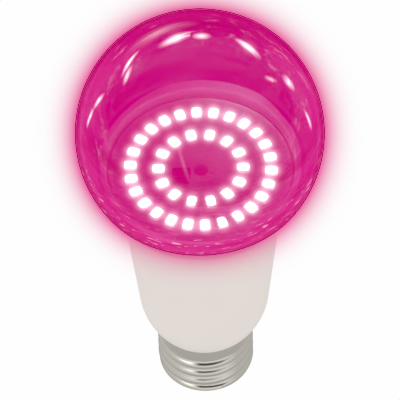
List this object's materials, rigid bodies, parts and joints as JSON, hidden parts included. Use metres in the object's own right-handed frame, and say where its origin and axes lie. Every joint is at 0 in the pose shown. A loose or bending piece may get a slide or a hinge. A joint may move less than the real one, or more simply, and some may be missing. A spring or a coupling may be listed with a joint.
{
  "type": "led bulb",
  "caption": "Clear-globed LED grow bulb with concentric rings of surface-mount LEDs, a tapered white housing and a screw cap.",
  "frame": {"origin": "centre of the flat tip of the centre contact, on the bulb's axis", "axes": "+Z along the bulb's axis, from the cap towards the globe; -Y faces the viewer of the picture"},
  "size_m": [0.065, 0.065, 0.139],
  "materials": {
    "clear_polycarbonate": "clear, glossy, tinted by the light inside",
    "white_pbt": "satin moulded plastic",
    "satin_nickel": "nickel-plated sheet, satin",
    "nickel_plated_brass": "plated, satin",
    "black_glass": "opaque black, glossy",
    "drawn_aluminium": "plain drawn sheet",
    "white_solder_mask": "metal-core board under white solder mask",
    "led_package": "white package, lit window",
    "dark_nylon": "moulded",
    "green_fibreglass": "coated board",
    "can_sleeve": "shrunk sleeve",
    "film_case": "moulded case",
    "coil_tape": "taped winding and ferrite",
    "chip_epoxy": "moulded epoxy",
    "resistor_lacquer": "lacquered",
    "red_pvc": "wire insulation",
    "black_pvc": "wire insulation",
    "tinned_copper": "bare tinned wire"
  },
  "bodies": {
    "root": {"globe_cover": "clear_polycarbonate", "body_housing": "white_pbt", "cap_shell": "satin_nickel", "cap_insulator": "black_glass", "centre_contact": "nickel_plated_brass", "heat_sink": "drawn_aluminium", "led_board": "white_solder_mask", "board_connector": "dark_nylon", "driver_board": "green_fibreglass", "electrolytic_capacitor": "can_sleeve", "film_capacitor": "film_case", "power_inductor": "coil_tape", "driver_ic": "chip_epoxy", "bridge_rectifier": "chip_epoxy", "fuse_resistor": "resistor_lacquer", "live_wire": "red_pvc", "neutral_wire": "tinned_copper", "led_lead_positive": "red_pvc", "led_lead_negative": "black_pvc", "led_outer_01": "led_package", "led_outer_02": "led_package", "led_outer_03": "led_package", "led_outer_04": "led_package", "led_outer_05": "led_package", "led_outer_06": "led_package", "led_outer_07": "led_package", "led_outer_08": "led_package", "led_outer_09": "led_package", "led_outer_10": "led_package", "led_outer_11": "led_package", "led_outer_12": "led_package", "led_outer_13": "led_package", "led_outer_14": "led_package", "led_outer_15": "led_package", "led_outer_16": "led_package", "led_outer_17": "led_package", "led_outer_18": "led_package", "led_outer_19": "led_package", "led_outer_20": "led_package", "led_outer_21": "led_package", "led_outer_22": "led_package", "led_outer_23": "led_package", "led_outer_24": "led_package", "led_outer_25": "led_package", "led_outer_26": "led_package", "led_inner_01": "led_package", "led_inner_02": "led_package", "led_inner_03": "led_package", "led_inner_04": "led_package", "led_inner_05": "led_package", "led_inner_06": "led_package", "led_inner_07": "led_package", "led_inner_08": "led_package", "led_inner_09": "led_package", "led_inner_10": "led_package", "led_inner_11": "led_package", "led_inner_12": "led_package", "led_inner_13": "led_package", "led_inner_14": "led_package"}
  },
  "joints": []
}
